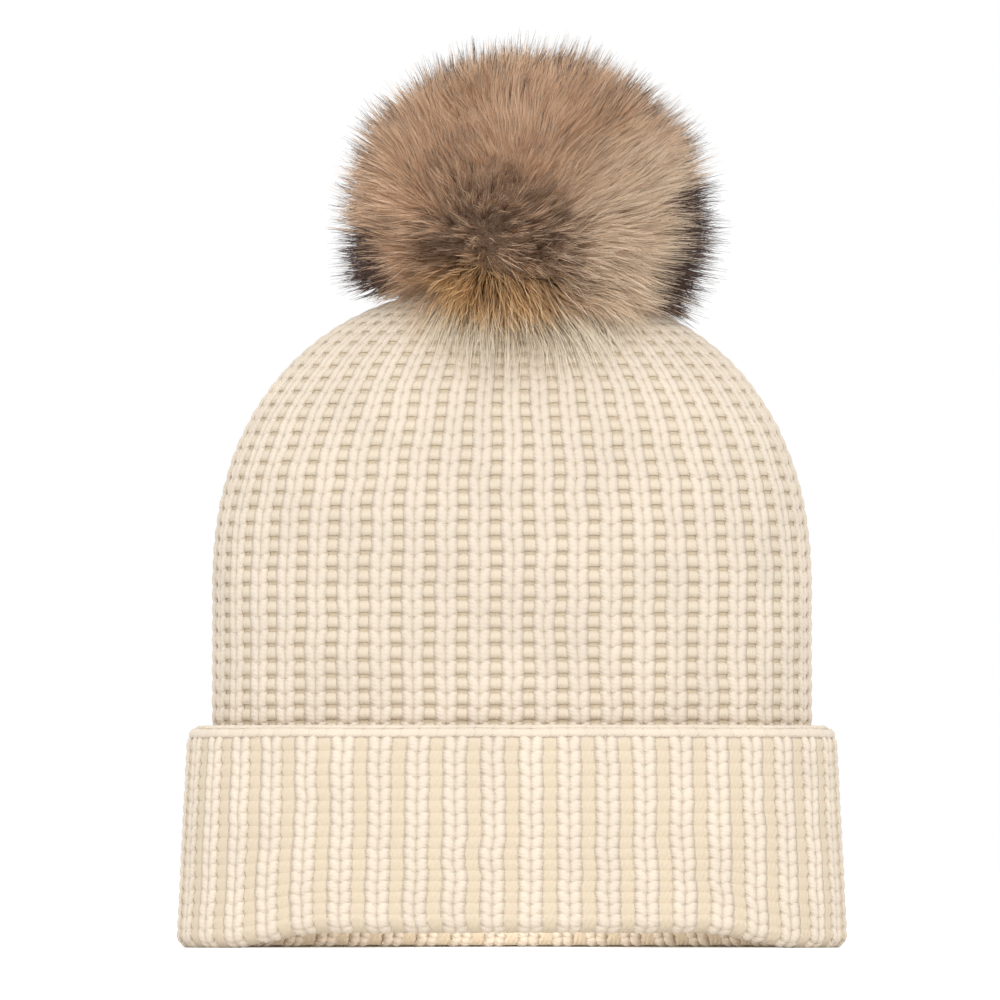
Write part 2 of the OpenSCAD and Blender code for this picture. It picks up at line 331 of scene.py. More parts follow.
def purl_relief(rings, ribs, row, depth):
    """Presses ribs and purl bumps into the inside of the knit."""
    share = np.linspace(0, 1, rings.shape[1])[None, :]
    rib = 0.5 - 0.5 * np.cos(2 * math.pi * (ribs * share - 0.5))
    bumps = np.abs(np.sin(math.pi * climbed(rings)[:, None] / row)) * (0.35 + 0.65 * rib)
    return rings - outward(rings) * ((0.6 * rib + 0.4 * bumps) * depth)[..., None]


# Meshes


def link(obj):
    bpy.context.scene.collection.objects.link(obj)
    return obj


def smoothed(obj):
    obj.data.polygons.foreach_set("use_smooth", np.ones(len(obj.data.polygons), bool))
    return obj


def mesh_object(name, verts, faces):
    mesh = bpy.data.meshes.new(name)
    mesh.from_pydata([tuple(v) for v in verts], [], [tuple(f) for f in faces])
    mesh.update()
    return link(bpy.data.objects.new(name, mesh))


def add_attribute(obj, name, kind, values, domain="POINT"):
    layer = obj.data.attributes.new(name, kind, domain)
    layer.data.foreach_set("vector" if kind == "FLOAT_VECTOR" else "value", np.ravel(values))


def grid_faces(rows, columns, loop_rows=False, loop_columns=True):
    """Quads of a grid of points, which may close on itself either way."""
    down = np.arange(rows if loop_rows else rows - 1)
    across = np.arange(columns if loop_columns else columns - 1)
    i, j = (index.ravel() for index in np.meshgrid(down, across, indexing="ij"))
    n, k = (i + 1) % rows, (j + 1) % columns
    return np.stack([i * columns + j, i * columns + k, n * columns + k, n * columns + j], 1)


def faced_out(obj, *open_rims):
    """Bridges rims of a mesh, each of them a test of an edge at a rim, and turns all faces outwards."""
    work = bmesh.new()
    work.from_mesh(obj.data)
    rim = [edge for edge in work.edges if edge.is_boundary]
    for belongs in open_rims:
        bmesh.ops.bridge_loops(work, edges=[edge for edge in rim if belongs(edge)])
    bmesh.ops.recalc_face_normals(work, faces=work.faces)
    work.to_mesh(obj.data)
    work.free()
    return smoothed(obj)


def solid(name, tubes, loop=False):
    """One mesh from stacks of rings, each of them a loop of rings or capped at both ends."""
    verts, faces, start = [], [], 0
    for rings in tubes:
        rows, sides = rings.shape[:2]
        verts.append(rings.reshape(-1, 3))
        made = [tuple(face) for face in grid_faces(rows, sides, loop_rows=loop)]
        if not loop:
            made += [tuple(range(sides)), tuple(range((rows - 1) * sides, rows * sides))]
        faces += [tuple(start + i for i in face) for face in made]
        start += rows * sides
    return faced_out(mesh_object(name, np.concatenate(verts), faces))


def two_walls(name, outside, inside):
    """A solid between two stacks of rings of different counts, closed by strips at both ends. The
    outside is marked deep for painted shade, because stitches cover it."""
    outer, inner = outside[:, :-1], inside[:, :-1]
    count = outer.size // 3
    verts = np.concatenate([outer.reshape(-1, 3), inner.reshape(-1, 3)])
    faces = np.concatenate([grid_faces(*outer.shape[:2]), grid_faces(*inner.shape[:2])[:, ::-1] + count])
    middle = (outside[0, :, 2].mean() + outside[-1, :, 2].mean()) / 2
    obj = faced_out(
        mesh_object(name, verts, faces),
        lambda edge: edge.verts[0].co.z < middle,
        lambda edge: edge.verts[0].co.z >= middle,
    )
    # The outside wall is marked deep, so that its finish paints it with painted shade
    add_attribute(obj, "deep", "FLOAT", np.arange(len(verts)) < count)
    return obj


def round_points(radius, turn, z):
    """Points at a radius and a height round the upright axis."""
    return np.stack(np.broadcast_arrays(radius * np.cos(turn), radius * np.sin(turn), z), -1)


def turned(profile, columns, swell=1.0):
    """Rings round the upright axis through (radius, height) points. swell stretches their radii."""
    r, z = np.array(profile).T[..., None]
    return round_points(r * swell, circle(columns)[None, :], z)


def unit(v):
    return v / np.linalg.norm(v, axis=1, keepdims=True)


def plied(path, up, count, girth, turns, loop=False, sides=6):
    """Rings of each strand of a thread that follows a path. girth is half the thread's thickness."""
    ahead = unit(np.roll(path, -1, 0) - np.roll(path, 1, 0) if loop else np.gradient(path, axis=0))
    side = unit(np.cross(ahead, up))
    rise = np.cross(side, ahead)
    lay = 1 / math.sin(math.pi / count) if count > 1 else 0.0
    radius = girth / (1 + lay)
    share = np.arange(len(path)) / (len(path) - (0 if loop else 1))
    around = circle(sides)[None, :, None]
    section = radius * (np.cos(around) * side[:, None] + np.sin(around) * rise[:, None])
    strands = []
    for k in range(count):
        wound = 2 * math.pi * (k / count + turns * share)[:, None]
        middle = path + radius * lay * (np.cos(wound) * side + np.sin(wound) * rise)
        strands.append(middle[:, None] + section)
    return strands


def guide_object(name, rings, fill=0.0):
    """A surface that stitches are laid on, with its map, its outward direction, its local size and how
    far the stripes fill up, ring by ring. Returns it with its length."""
    rows, columns = rings.shape[:2]
    obj = smoothed(mesh_object(name, rings.reshape(-1, 3), grid_faces(rows, columns, loop_columns=False)))
    along = climbed(rings)
    girth = np.linalg.norm(np.diff(rings, axis=1), axis=2).sum(1)
    u = np.tile(np.linspace(0, 1, columns), rows)
    v = np.repeat(along / along[-1], columns)
    corners = np.zeros(len(obj.data.loops), int)
    obj.data.loops.foreach_get("vertex_index", corners)
    layer = obj.data.uv_layers.new(name="guide")
    layer.data.foreach_set("uv", np.stack([u[corners], v[corners]], 1).ravel())
    local = np.minimum(1, girth / girth[0]) ** 0.6
    add_attribute(obj, "out", "FLOAT_VECTOR", outward(rings))
    add_attribute(obj, "size", "FLOAT", np.repeat(local, columns))
    add_attribute(obj, "fill", "FLOAT", np.repeat(np.broadcast_to(fill, rows), columns))
    return obj, along[-1]


def stitch_object(name, tubes):
    """One stitch from several tubes, each of them (rings, deep, crisp). deep tells how far a tube lies in
    the valley, where it may rise and is darkened with painted shade. A crisp tube of four sides keeps the
    ridges at its sides sharp. The map gives each tube a strip, with its length up the strip and its caps at
    the ends."""
    verts, faces, maps, depths, ridges = [], [], [], [], set()
    start, strip = 0, 1 / len(tubes)
    for n, (rings, deep, crisp) in enumerate(tubes):
        rows, sides = rings.shape[:2]
        verts.append(rings.reshape(-1, 3))
        depths += [deep] * (rows * sides)
        if crisp:
            lines = [start + row * sides + side for row in range(rows - 1) for side in (1, 3)]
            ridges.update((low, low + sides) for low in lines)
        for row in range(rows - 1):
            for side in range(sides):
                quad = ((row + 1, side), (row + 1, side + 1), (row, side + 1), (row, side))
                faces.append(tuple(start + r * sides + s % sides for r, s in quad))
                for r, s in quad:
                    maps.append(((n + 0.08 + 0.84 * s / sides) * strip, 0.08 + 0.84 * r / (rows - 1)))
        first, last = range(sides), range(rows * sides - 1, (rows - 1) * sides - 1, -1)
        for level, ring in ((0.04, first), (0.96, last)):
            faces.append(tuple(start + i for i in ring))
            for i in ring:
                angle = 2 * math.pi * (i % sides) / sides
                maps.append(((n + 0.5 + 0.3 * math.cos(angle)) * strip, level + 0.03 * math.sin(angle)))
        start += rows * sides
    obj = smoothed(mesh_object(name, np.concatenate(verts), faces))
    layer = obj.data.uv_layers.new(name="yarn")
    layer.data.foreach_set("uv", np.array(maps).ravel())
    add_attribute(obj, "deep", "FLOAT", depths)
    sharp = [tuple(sorted(edge.vertices)) in ridges for edge in obj.data.edges]
    add_attribute(obj, "sharp_edge", "BOOLEAN", sharp, "EDGE")
    return obj


# In a stitch's own space x goes across the rib and y up the row, both in shares, and z comes out in metres


def leg(side, base_x, top_x, width, height, over, rings=5, sides=5):
    """One leg of a knit stitch, from its base at the middle of the rib to its top at the edge. It goes
    past both ends of the row by the share over."""
    angles = math.pi / 2 + circle(sides)
    rows = []
    for s in np.linspace(0, 1, rings):
        swell = math.sin(math.pi * (0.14 + 0.74 * s)) ** 0.5
        x = side * (base_x + (top_x - base_x) * s**0.8) + width * swell * np.cos(angles)
        y = np.full(sides, -over + (1 + 2 * over) * s)
        level = LEG_BASE_Z + (LEG_TOP_Z - LEG_BASE_Z) * s + LEG_ARCH * math.sin(math.pi * s)
        rows.append(np.stack([x, y, level + height * swell * np.sin(angles)], 1))
    return np.array(rows), 0.0, False


def bar(half, sag, width, height, z, level, crisp, rings=4, sides=4):
    """A purl bump in the valley on the right of a rib, with its ends tucked under the legs beside it."""
    angles = math.pi / 2 + circle(sides)
    rows = []
    for t in np.linspace(1, -1, rings):
        swell = 1 - 0.1 * t * t
        x = np.full(sides, 0.5 + half * t)
        y = level + sag * t * t + width * swell * np.cos(angles)
        rows.append(np.stack([x, y, z - 0.0003 * t * t + height * swell * np.sin(angles)], 1))
    return np.array(rows), 1.0, crisp


def strand_along(half, width, height, z, rings=6, sides=7):
    """A length of yarn that runs along a row, across one rib and its valley."""
    angles = circle(sides)
    rows = []
    for t in np.linspace(1, -1, rings):
        swell = 1 - 0.22 * t**4
        y = 0.5 + width * swell * np.cos(angles)
        rows.append(np.stack([np.full(sides, half * t), y, z + height * swell * np.sin(angles)], 1))
    return np.array(rows), 0.0, False


# Node graphs


class Field:
    """An output of a node, which formulas can be written with."""

    def __init__(self, graph, socket):
        self.graph = graph
        self.socket = socket

    def __add__(self, other):
        return self.graph.maths("ADD", self, other)

    def __radd__(self, other):
        return self.graph.maths("ADD", other, self)

    def __sub__(self, other):
        return self.graph.maths("SUBTRACT", self, other)

    def __rsub__(self, other):
        return self.graph.maths("SUBTRACT", other, self)

    def __mul__(self, other):
        return self.graph.maths("MULTIPLY", self, other)

    def __rmul__(self, other):
        return self.graph.maths("MULTIPLY", other, self)

    def __truediv__(self, other):
        return self.graph.maths("DIVIDE", self, other)

    def __rtruediv__(self, other):
        return self.graph.maths("DIVIDE", other, self)

    def __mod__(self, other):
        return self.graph.maths("MODULO", self, other)

    def __pow__(self, other):
        return self.graph.maths("POWER", self, other)


def is_vector(value):
    if isinstance(value, Field):
        return value.socket.type in ("VECTOR", "RGBA")
    return isinstance(value, tuple)


def live(sockets, key):
    """The socket in use under a name or a number. Without either it is the first in use."""
    if isinstance(key, int):
        return sockets[key]
    return next(s for s in sockets if s.enabled and key in (None, s.name))


class Graph:
    """A node tree that is built a node at a time."""

    def __init__(self, tree):
        self.tree = tree

    def feed(self, socket, value):
        """Links a field to a socket, or sets the socket to a plain value."""
        if isinstance(value, Field):
            self.tree.links.new(value.socket, socket)
        elif value is not None:
            socket.default_value = value

    def make(self, kind, inputs=None, *outputs, **options):
        """Adds a node and returns the outputs that are named, or else the first in use."""
        made = self.tree.nodes.new(kind)
        for key, value in options.items():
            setattr(made, key, value)
        for key, value in (inputs or {}).items():
            self.feed(live(made.inputs, key), value)
        found = [Field(self, live(made.outputs, name)) for name in outputs or (None,)]
        return found if len(found) > 1 else found[0]

    def maths(self, operation, a, b=None):
        """One step of a formula, on vectors where one of the values is a vector."""
        if not is_vector(a) and not is_vector(b):
            return self.make("ShaderNodeMath", {0: a, 1: b}, operation=operation)
        if operation == "MULTIPLY" and not is_vector(b):
            return self.make("ShaderNodeVectorMath", {0: a, "Scale": b}, operation="SCALE")
        return self.make("ShaderNodeVectorMath", {0: a, 1: b}, operation=operation)

    def combine(self, x, y, z):
        return self.make("ShaderNodeCombineXYZ", {0: x, 1: y, 2: z})

    def separate(self, vector):
        return self.make("ShaderNodeSeparateXYZ", {0: vector}, "X", "Y", "Z")

    def ramp(self, value, low, high):
        """0 below low, 1 above high, smooth between."""
        inputs = {"Value": value, "From Min": low, "From Max": high}
        return self.make("ShaderNodeMapRange", inputs, interpolation_type="SMOOTHSTEP")


class Tree(Graph):
    """A geometry node tree, with the names of its inputs by their kind."""

    def __init__(self, name, **inputs):
        super().__init__(bpy.data.node_groups.new(name, "GeometryNodeTree"))
        sockets = self.tree.interface
        for kind, labels in inputs.items():
            for label in labels:
                sockets.new_socket(label, in_out="INPUT", socket_type="NodeSocket" + kind)
        sockets.new_socket("Geometry", in_out="OUTPUT", socket_type="NodeSocketGeometry")
        self.source = self.tree.nodes.new("NodeGroupInput")
        self.sink = self.tree.nodes.new("NodeGroupOutput")

    def __getitem__(self, label):
        return Field(self, self.source.outputs[label])

    def index(self):
        return self.make("GeometryNodeInputIndex")

    def position(self):
        return self.make("GeometryNodeInputPosition")

    def shape_of(self, label):
        """The geometry of an object that is an input of the tree."""
        return self.make("GeometryNodeObjectInfo", {"Object": self[label]}, "Geometry")

    def random(self, low, high, salt):
        """A random number, or a random vector between two vectors."""
        inputs = {"Min": low, "Max": high, "Seed": self["Seed"] + salt}
        kind = "FLOAT_VECTOR" if is_vector(low) else "FLOAT"
        return self.make("FunctionNodeRandomValue", inputs, data_type=kind)

    def named(self, name, kind="FLOAT"):
        return self.make("GeometryNodeInputNamedAttribute", {"Name": name}, data_type=kind)

    def store(self, geometry, name, value, kind=None, domain="POINT"):
        kind = kind or ("FLOAT_VECTOR" if is_vector(value) else "FLOAT")
        inputs = {"Geometry": geometry, "Name": name, "Value": value}
        return self.make("GeometryNodeStoreNamedAttribute", inputs, data_type=kind, domain=domain)

    def moved(self, geometry, **change):
        """Sets the Position of a geometry's points or adds an Offset to it."""
        return self.make("GeometryNodeSetPosition", {"Geometry": geometry, **change})

    def finish(self, geometry, count, own_u, own_v):
        """Gives each of count cells a square of its own on the map that colours are baked to, then ends
        the tree with Realize Instances and Set Material."""
        side = self.maths("CEIL", self.maths("SQRT", count))
        cell = self.named("cell")
        bake_u = (cell % side + own_u) / side
        bake_v = (self.maths("FLOOR", cell / side) + own_v) / side
        mapped = self.store(geometry, BAKE_MAP, self.combine(bake_u, bake_v, 0.0), "FLOAT2", "CORNER")
        shaded = self.make("GeometryNodeSetShadeSmooth", {"Geometry": mapped})
        whole = self.make("GeometryNodeRealizeInstances", {"Geometry": shaded})
        dressed = self.make("GeometryNodeSetMaterial", {"Geometry": whole, "Material": self["Material"]})
        self.feed(self.sink.inputs[0], dressed)

    def grow(self, name, values):
        """Runs the tree and returns its result as a plain mesh object."""
        obj = link(bpy.data.objects.new(name, bpy.data.meshes.new(name)))
        modifier = obj.modifiers.new("Nodes", "NODES")
        modifier.node_group = self.tree
        for item in self.tree.interface.items_tree:
            if item.in_out == "INPUT" and item.name in values:
                modifier[item.identifier] = values[item.name]
        graph = bpy.context.evaluated_depsgraph_get()
        mesh = bpy.data.meshes.new_from_object(
            obj.evaluated_get(graph), preserve_all_data_layers=True, depsgraph=graph
        )
        obj.modifiers.remove(modifier)
        obj.data = mesh
        mesh.name = name
        return obj


def knit_tree():
    """Lays a stitch on every place of a guide's map, then bends the stitches on to the guide's surface."""
    t = Tree(
        "Knit on a guide",
        Object=("Guide", "Stitch"),
        Int=("Columns", "First column", "Column count", "Rows", "Seed"),
        Float=("First row", "Row height", "Unevenness", "Fill"),
        Material=("Material",),
    )
    count = t["Column count"] * t["Rows"]
    index = t.index()
    column = index % t["Column count"] + t["First column"]
    row = t.maths("FLOOR", index / t["Column count"])
    width, height = 1.0 / t["Columns"], t["Row height"]
    middle = t.combine((column + 0.5) * width, t["First row"] + row * height, 0.0)
    points = t.make("GeometryNodePoints", {"Count": count, "Position": middle})
    points = t.store(points, "tint", t.random(0.0, 1.0, 1))
    points = t.store(points, "cell", index)
    size = t.combine(width, height, t.random(0.96, 1.04, 2))
    inputs = {"Points": points, "Instance": t.shape_of("Stitch"), "Scale": size}
    placed = t.make("GeometryNodeInstanceOnPoints", inputs)
    flat = t.make("GeometryNodeRealizeInstances", {"Geometry": placed})

    # Rows wander a little, as they do in hand-fed yarn
    x, y, h = t.separate(t.position())
    wide = t.combine(x * t["Columns"], y / height, t["Seed"])
    noise = t.make("ShaderNodeTexNoise", {"Vector": wide, "Scale": 0.45, "Detail": 1.0}, "Color")
    sway_u, sway_v, sway_h = t.separate((noise - HALF_GREY) * t["Unevenness"])
    u = t.maths("FRACT", x + sway_u * width)
    v = t.make("ShaderNodeClamp", {"Value": y + sway_v * height, "Min": 0.0005, "Max": 0.9995})
    guide = t.shape_of("Guide")
    chart = t.named("guide", "FLOAT_VECTOR")
    target = t.combine(u, v, 0.0)

    def sampled(value):
        inputs = {"Mesh": guide, "Value": value, "UV Map": chart, "Sample UV": target}
        kind = "FLOAT_VECTOR" if is_vector(value) else "FLOAT"
        return t.make("GeometryNodeSampleUVSurface", inputs, data_type=kind)

    surface = sampled(t.position())
    out = sampled(t.named("out", "FLOAT_VECTOR"))
    raised = h + t.named("deep") * sampled(t.named("fill")) * t["Fill"] + sway_h * 0.001
    lift = raised * sampled(t.named("size"))
    bent = t.moved(flat, Position=surface + out * lift)

    own_u, own_v, _ = t.separate(t.named("yarn", "FLOAT_VECTOR"))
    t.finish(bent, count, own_u, own_v)
    return t


def fur_tree():
    """Grows tapered hairs from a ball out to a larger one, combed by noise and pressed off the crown."""
    t = Tree(
        "Fur on a ball",
        Int=("Count", "Seed", "Segments"),
        Vector=("Root centre", "Tip centre", "Comb", "Shape"),
        Float=(
            *("Root radius", "Reach", "Spread", "Thickness", "Tufts", "Gather", "Flow", "Stray"),
            *("Lowest", "Highest", "Droop", "Trim", "Fringe", "Clearance"),
        ),
        Object=("Crown",),
        Material=("Material",),
    )
    index = t.index()
    rise = t["Highest"] - (index + 0.5) / t["Count"] * (t["Highest"] - t["Lowest"])
    turn = index * GOLDEN_ANGLE + t["Seed"]
    flat = t.maths("SQRT", 1.0 - rise * rise)
    even = t.combine(flat * t.maths("COSINE", turn), flat * t.maths("SINE", turn), rise)
    way = t.maths("NORMALIZE", even + t.random((-0.05,) * 3, (0.05,) * 3, 11))
    inputs = {"Vector": way, "W": t["Seed"], "Scale": 3.4, "Detail": 2.5, "Roughness": 0.6}
    noise = t.make("ShaderNodeTexNoise", inputs, "Color", noise_dimensions="4D")
    flow = (noise - HALF_GREY) * t["Flow"]
    stray = t.random((-1.0,) * 3, (1.0,) * 3, 12) * t["Stray"]
    facing = t.maths("NORMALIZE", (way + t["Comb"]) + (flow + stray))

    # The tips gather into tufts
    inputs = {"Vector": facing, "Scale": t["Tufts"]}
    middle, tuft = t.make("ShaderNodeTexVoronoi", inputs, "Position", "Color")
    facing = t.maths("NORMALIZE", facing + (middle - facing) * t["Gather"])
    lean_x, lean_y, lean_z = t.separate(facing)

    # The lower half is fuller than a ball
    under = t.maths("ABSOLUTE", t.maths("MINIMUM", lean_z, 0.0))
    swell = (1.0 - under**3.0) ** (1 / 3) / t.maths("SQRT", 1.0001 - under * under)
    lean = t.combine(lean_x * swell, lean_y * swell, lean_z) * t["Shape"]
    reach = t["Reach"] * (1.0 + t["Spread"] * t.random(-1.0, 1.0, 13))

    # Underneath, the fur is trimmed level, longer at the middle and a little longer on the right
    inner = 1.0 - t.ramp(t.maths("ABSOLUTE", lean_x + 0.12), 0.08, 0.42)
    right = t.maths("MAXIMUM", lean_x, 0.0) * 0.032
    level = (t["Trim"] + right + t["Fringe"] * inner) * t.random(0.82, 1.12, 15)
    reach = t.maths("MINIMUM", reach, level / (under + 0.0001))
    kept = {
        "root": t["Root centre"] + way * t["Root radius"],
        "tip": t["Tip centre"] + lean * reach,
        "way": facing,
        "hair": t.random(0.0, 1.0, 14),
        "tuft": t.separate(tuft)[0],
        "cell": index,
    }
    points = t.make("GeometryNodePoints", {"Count": t["Count"]})
    for name, value in kept.items():
        points = t.store(points, name, value)

    line = t.make("GeometryNodeCurvePrimitiveLine", {"Start": (0, 0, 0), "End": (0, 0, 1)})
    line = t.make("GeometryNodeResampleCurve", {"Curve": line, "Count": t["Segments"] + 1})
    hairs = t.make("GeometryNodeInstanceOnPoints", {"Points": points, "Instance": line})
    hairs = t.make("GeometryNodeRealizeInstances", {"Geometry": hairs})
    along = t.make("GeometryNodeSplineParameter", {}, "Factor")
    hairs = t.store(hairs, "along", along)
    start, end = t.named("root", "FLOAT_VECTOR"), t.named("tip", "FLOAT_VECTOR")
    straight = start + (end - start) * along
    inputs = {"Vector": straight * CURL_SCALE, "Scale": 1.0, "Detail": 1.0}
    curl = t.make("ShaderNodeTexNoise", inputs, "Color")
    bend = (curl - HALF_GREY) * (along * CURL_WIDTH)
    fall = along * along * (t["Droop"] * -1.0)
    hairs = t.moved(hairs, Position=straight + bend + t.combine(0.0, 0.0, fall))

    # Hairs that would go into the crown lie on it instead
    crown, place = t.shape_of("Crown"), t.position()

    def nearest(value):
        inputs = {"Mesh": crown, "Value": value, "Sample Position": place}
        return t.make("GeometryNodeSampleNearestSurface", inputs, data_type="FLOAT_VECTOR")

    out = nearest(t.named("out", "FLOAT_VECTOR"))
    depth = t.maths("DOT_PRODUCT", place - nearest(t.position()), out)
    wanted = t["Clearance"] * (0.25 + t.named("hair"))
    push = t.maths("MAXIMUM", 0.0, wanted - depth) * t.maths("MINIMUM", 1.0, along * 4.0)
    hairs = t.moved(hairs, Offset=out * push)

    taper = 1.0 - TAPER * along**TAPER_POWER
    girth = t["Thickness"] * (0.65 + 0.7 * t.named("hair"))
    hairs = t.make("GeometryNodeSetCurveRadius", {"Curve": hairs, "Radius": girth * taper})
    profile = t.make("GeometryNodeCurvePrimitiveCircle", {"Resolution": 3, "Radius": 1.0})
    profile = t.store(profile, "side", t.index() * 0.5)
    radius = t.make("GeometryNodeInputRadius")
    inputs = {"Curve": hairs, "Profile Curve": profile, "Scale": radius, "Fill Caps": True}
    body = t.make("GeometryNodeCurveToMesh", inputs)

    side = t.named("side")
    up = 0.08 + 0.84 * t.named("along") + 0.03 * t.maths("SINE", math.pi * side)
    t.finish(body, t["Count"], 0.15 + 0.7 * side, up)
    return t


# Materials


def tinted(colour, by):
    return tuple(min(1.0, c * by) for c in colour)


class Finish(Graph):
    """A node material under construction, on its Principled shader."""

    def __init__(self, name, roughness, sheen=0.0, specular=0.3, metallic=0.0):
        self.material = bpy.data.materials.new(name)
        self.material.use_nodes = True
        super().__init__(self.material.node_tree)
        self.shader = self.tree.nodes["Principled BSDF"]
        self.put("Roughness", roughness)
        self.put("Metallic", metallic)
        self.put("Specular IOR Level", specular)
        self.put("Sheen Weight", sheen)
        self.put("Sheen Roughness", 0.5)

    def put(self, label, value):
        self.feed(self.shader.inputs[label], value)

    def place(self):
        return self.make("ShaderNodeTexCoord", {}, "Object")

    def attribute(self, name, output="Fac"):
        return self.make("ShaderNodeAttribute", {}, output, attribute_name=name)

    def noise(self, scale, detail=3.0, vector=None):
        inputs = {"Vector": vector or self.place(), "Scale": scale, "Detail": detail}
        return self.make("ShaderNodeTexNoise", inputs, "Fac")

    def mix(self, factor, a, b):
        a, b = (c if isinstance(c, Field) else (*c, 1) for c in (a, b))
        return self.make("ShaderNodeMix", {"Factor": factor, "A": a, "B": b}, data_type="RGBA")

    def mottled(self, colour, dark, light, scale, detail=3.0, low=0.3, high=0.7):
        """A colour that drifts between two of its tints."""
        drift = self.ramp(self.noise(scale, detail), low, high)
        return self.mix(drift, tinted(colour, dark), tinted(colour, light))

    def colour(self, value):
        self.put("Base Color", value)

    def bump(self, height, distance):
        inputs = {"Height": height, "Distance": distance, "Strength": 1.0}
        self.put("Normal", self.make("ShaderNodeBump", inputs))


def yarn_finish(name, colour, painted_shade, depth):
    """Soft plied yarn: twist along the yarn's map, fine fuzz, a drift of colour and painted shade in the
    valleys.
    """
    f = Finish(name, roughness=0.95, sheen=0.18, specular=0.15)
    f.put("Sheen Tint", (1.0, 0.95, 0.86, 1))
    tone = f.mottled(colour, 0.96, 1.03, 45.0)
    tone = f.mix(f.ramp(f.attribute("tint"), 0.0, 4.0), tone, tinted(colour, 0.8))
    # Painted shade: tubes that lie deep in the valleys are mixed towards the painted shade colour by the
    # share depth
    f.colour(f.mix(f.attribute("deep") * depth, tone, painted_shade))
    yarn = f.make("ShaderNodeUVMap", uv_map="yarn")
    lay = {"Vector": yarn, "Rotation": (0, 0, 0.9), "Scale": (6.0, 2.4, 1.0)}
    twist = {"Vector": f.make("ShaderNodeMapping", lay), "Scale": 1.0, "Distortion": 1.5, "Detail": 1.0}
    plies = f.make("ShaderNodeTexWave", twist, "Fac")
    f.bump(plies * 0.7 + f.noise(1500.0, 2.0) * 0.6, 0.00013)
    return f.material


def knit_back_finish(name, colour, painted_shade):
    """The plain side of the knit, behind the stitches and inside the hat, with painted shade on the wall
    behind the stitches.
    """
    f = Finish(name, roughness=1.0, sheen=0.1, specular=0.1)
    # Painted shade: the wall marked deep, behind the stitches, takes the shade colour, so the gaps between
    # stitches look dark
    f.colour(f.mix(f.attribute("deep"), f.mottled(colour, 0.9, 1.06, 70.0), painted_shade))
    f.bump(f.noise(900.0), 0.0006)
    return f.material


class FurZones:
    """How far the fur belongs to each of its colour zones, by the way that it points and by its tips."""

    def __init__(self, f, reach):
        self.way = f.attribute("way", "Vector")
        self.streak = f.ramp(f.noise(7.0, 2.0, self.way), 0.35, 0.65)
        self.golden = f.ramp(f.maths("DOT_PRODUCT", self.way, GOLDEN), 0.82, 0.96)
        # Painted light: how far the fur faces the side where light falls, which is painted paler
        self.painted_light_side = f.ramp(f.maths("DOT_PRODUCT", self.way, PAINTED_LIGHT_WAY), 0.62, 0.92)
        self.whorl = f.ramp(f.maths("DOT_PRODUCT", self.way, WHORL), 0.60, 0.98)
        tip_x, _, tip_z = f.separate(f.attribute("tip", "Vector"))
        across = (tip_x - FUR_MIDDLE.x) / (FUR_WIDTH * reach)
        aside = f.maths("ABSOLUTE", across)
        low = f.ramp(across * 0.0075 + SIDE_TUFT_TOP - tip_z, 0.0, 0.007)
        corner = f.ramp(SIDE_CORNER_TOP - tip_z, 0.0, 0.02) * 0.12
        self.side = f.ramp(aside + corner, 0.86, 0.96) * low
        self.cream = f.ramp(CREAM_TOP - tip_z, 0.0, 0.008) * (1.0 - f.ramp(aside, 0.5, 0.75))


def fur_finish(name, dark_share, look):
    """Long tan hair with dark tips, darkest round the whorl and at the sides, paler with painted light on
    the side where light falls, golden and cream below.
    """
    f = Finish(name, roughness=0.6, specular=0.2)
    zones = FurZones(f, look.reach)
    along, hair, tuft = (f.attribute(label) for label in ("along", "hair", "tuft"))
    other = f.maths("FRACT", hair * 37.0)
    tan = f.mix(other * 0.5 + tuft * 0.5, tinted(look.middle, 0.80), look.middle)
    # The side where light falls is painted paler: painted light
    tan = f.mix(zones.painted_light_side, tan, look.painted_light_side)
    tone = f.mix(f.ramp(along, 0.1, 0.5), look.root, tan)
    tone = f.mix(zones.golden * f.ramp(along, 0.2, 0.9), tone, look.gold)
    tone = f.mix(zones.cream * f.ramp(along, 0.35, 0.8), tone, look.cream)

    # Brown clumps run outwards from the whorl
    clumps = zones.whorl * zones.whorl * 0.60
    mixed = tuft * 0.75 + other * 0.25
    plainer = 1.0 - zones.golden * 0.75
    brown = f.ramp(clumps - mixed, -0.08, 0.10) * plainer * f.ramp(along, 0.3, 0.65)
    tone = f.mix(brown * (0.6 + other * 0.4), tone, look.streak)

    # Some hairs have dark tips, most of them at the sides and fewer on the paler side, which is painted
    # light
    share = (0.4 + zones.streak) * dark_share * (1.0 - zones.painted_light_side * 0.6) * plainer + zones.side * 0.85
    is_dark = f.maths("LESS_THAN", hair, share)
    reached = f.ramp(along - (0.84 - zones.side * 0.12), -0.1, 0.12)
    f.colour(f.mix(is_dark * reached * (1.0 - zones.cream), tone, look.tip))
    return f.material


def undercoat_finish(name, look):
    """The dense short hair under the long hair."""
    f = Finish(name, roughness=0.85, sheen=0.15, specular=0.1)
    zones = FurZones(f, look.reach)
    tone = f.mix(f.ramp(f.noise(38.0, 4.0, zones.way), 0.3, 0.7), look.root, look.middle)
    tone = f.mix(zones.golden, tone, look.gold)
    # Darker round the whorl and at the sides: partly the brown of the hair there, partly painted shade
    # where one looks down into the fur
    f.colour(f.mix(f.maths("MAXIMUM", zones.whorl, zones.side), tone, tinted(look.root, 0.6)))
    f.bump(f.noise(110.0, 3.0, zones.way), 0.002)
    return f.material


def felt_finish(name, colour):
    f = Finish(name, roughness=1.0, sheen=0.2, specular=0.1)
    f.colour(f.mottled(colour, 0.88, 1.06, 600.0, 4.0))
    f.bump(f.noise(1800.0, 4.0), 0.0005)
    return f.material


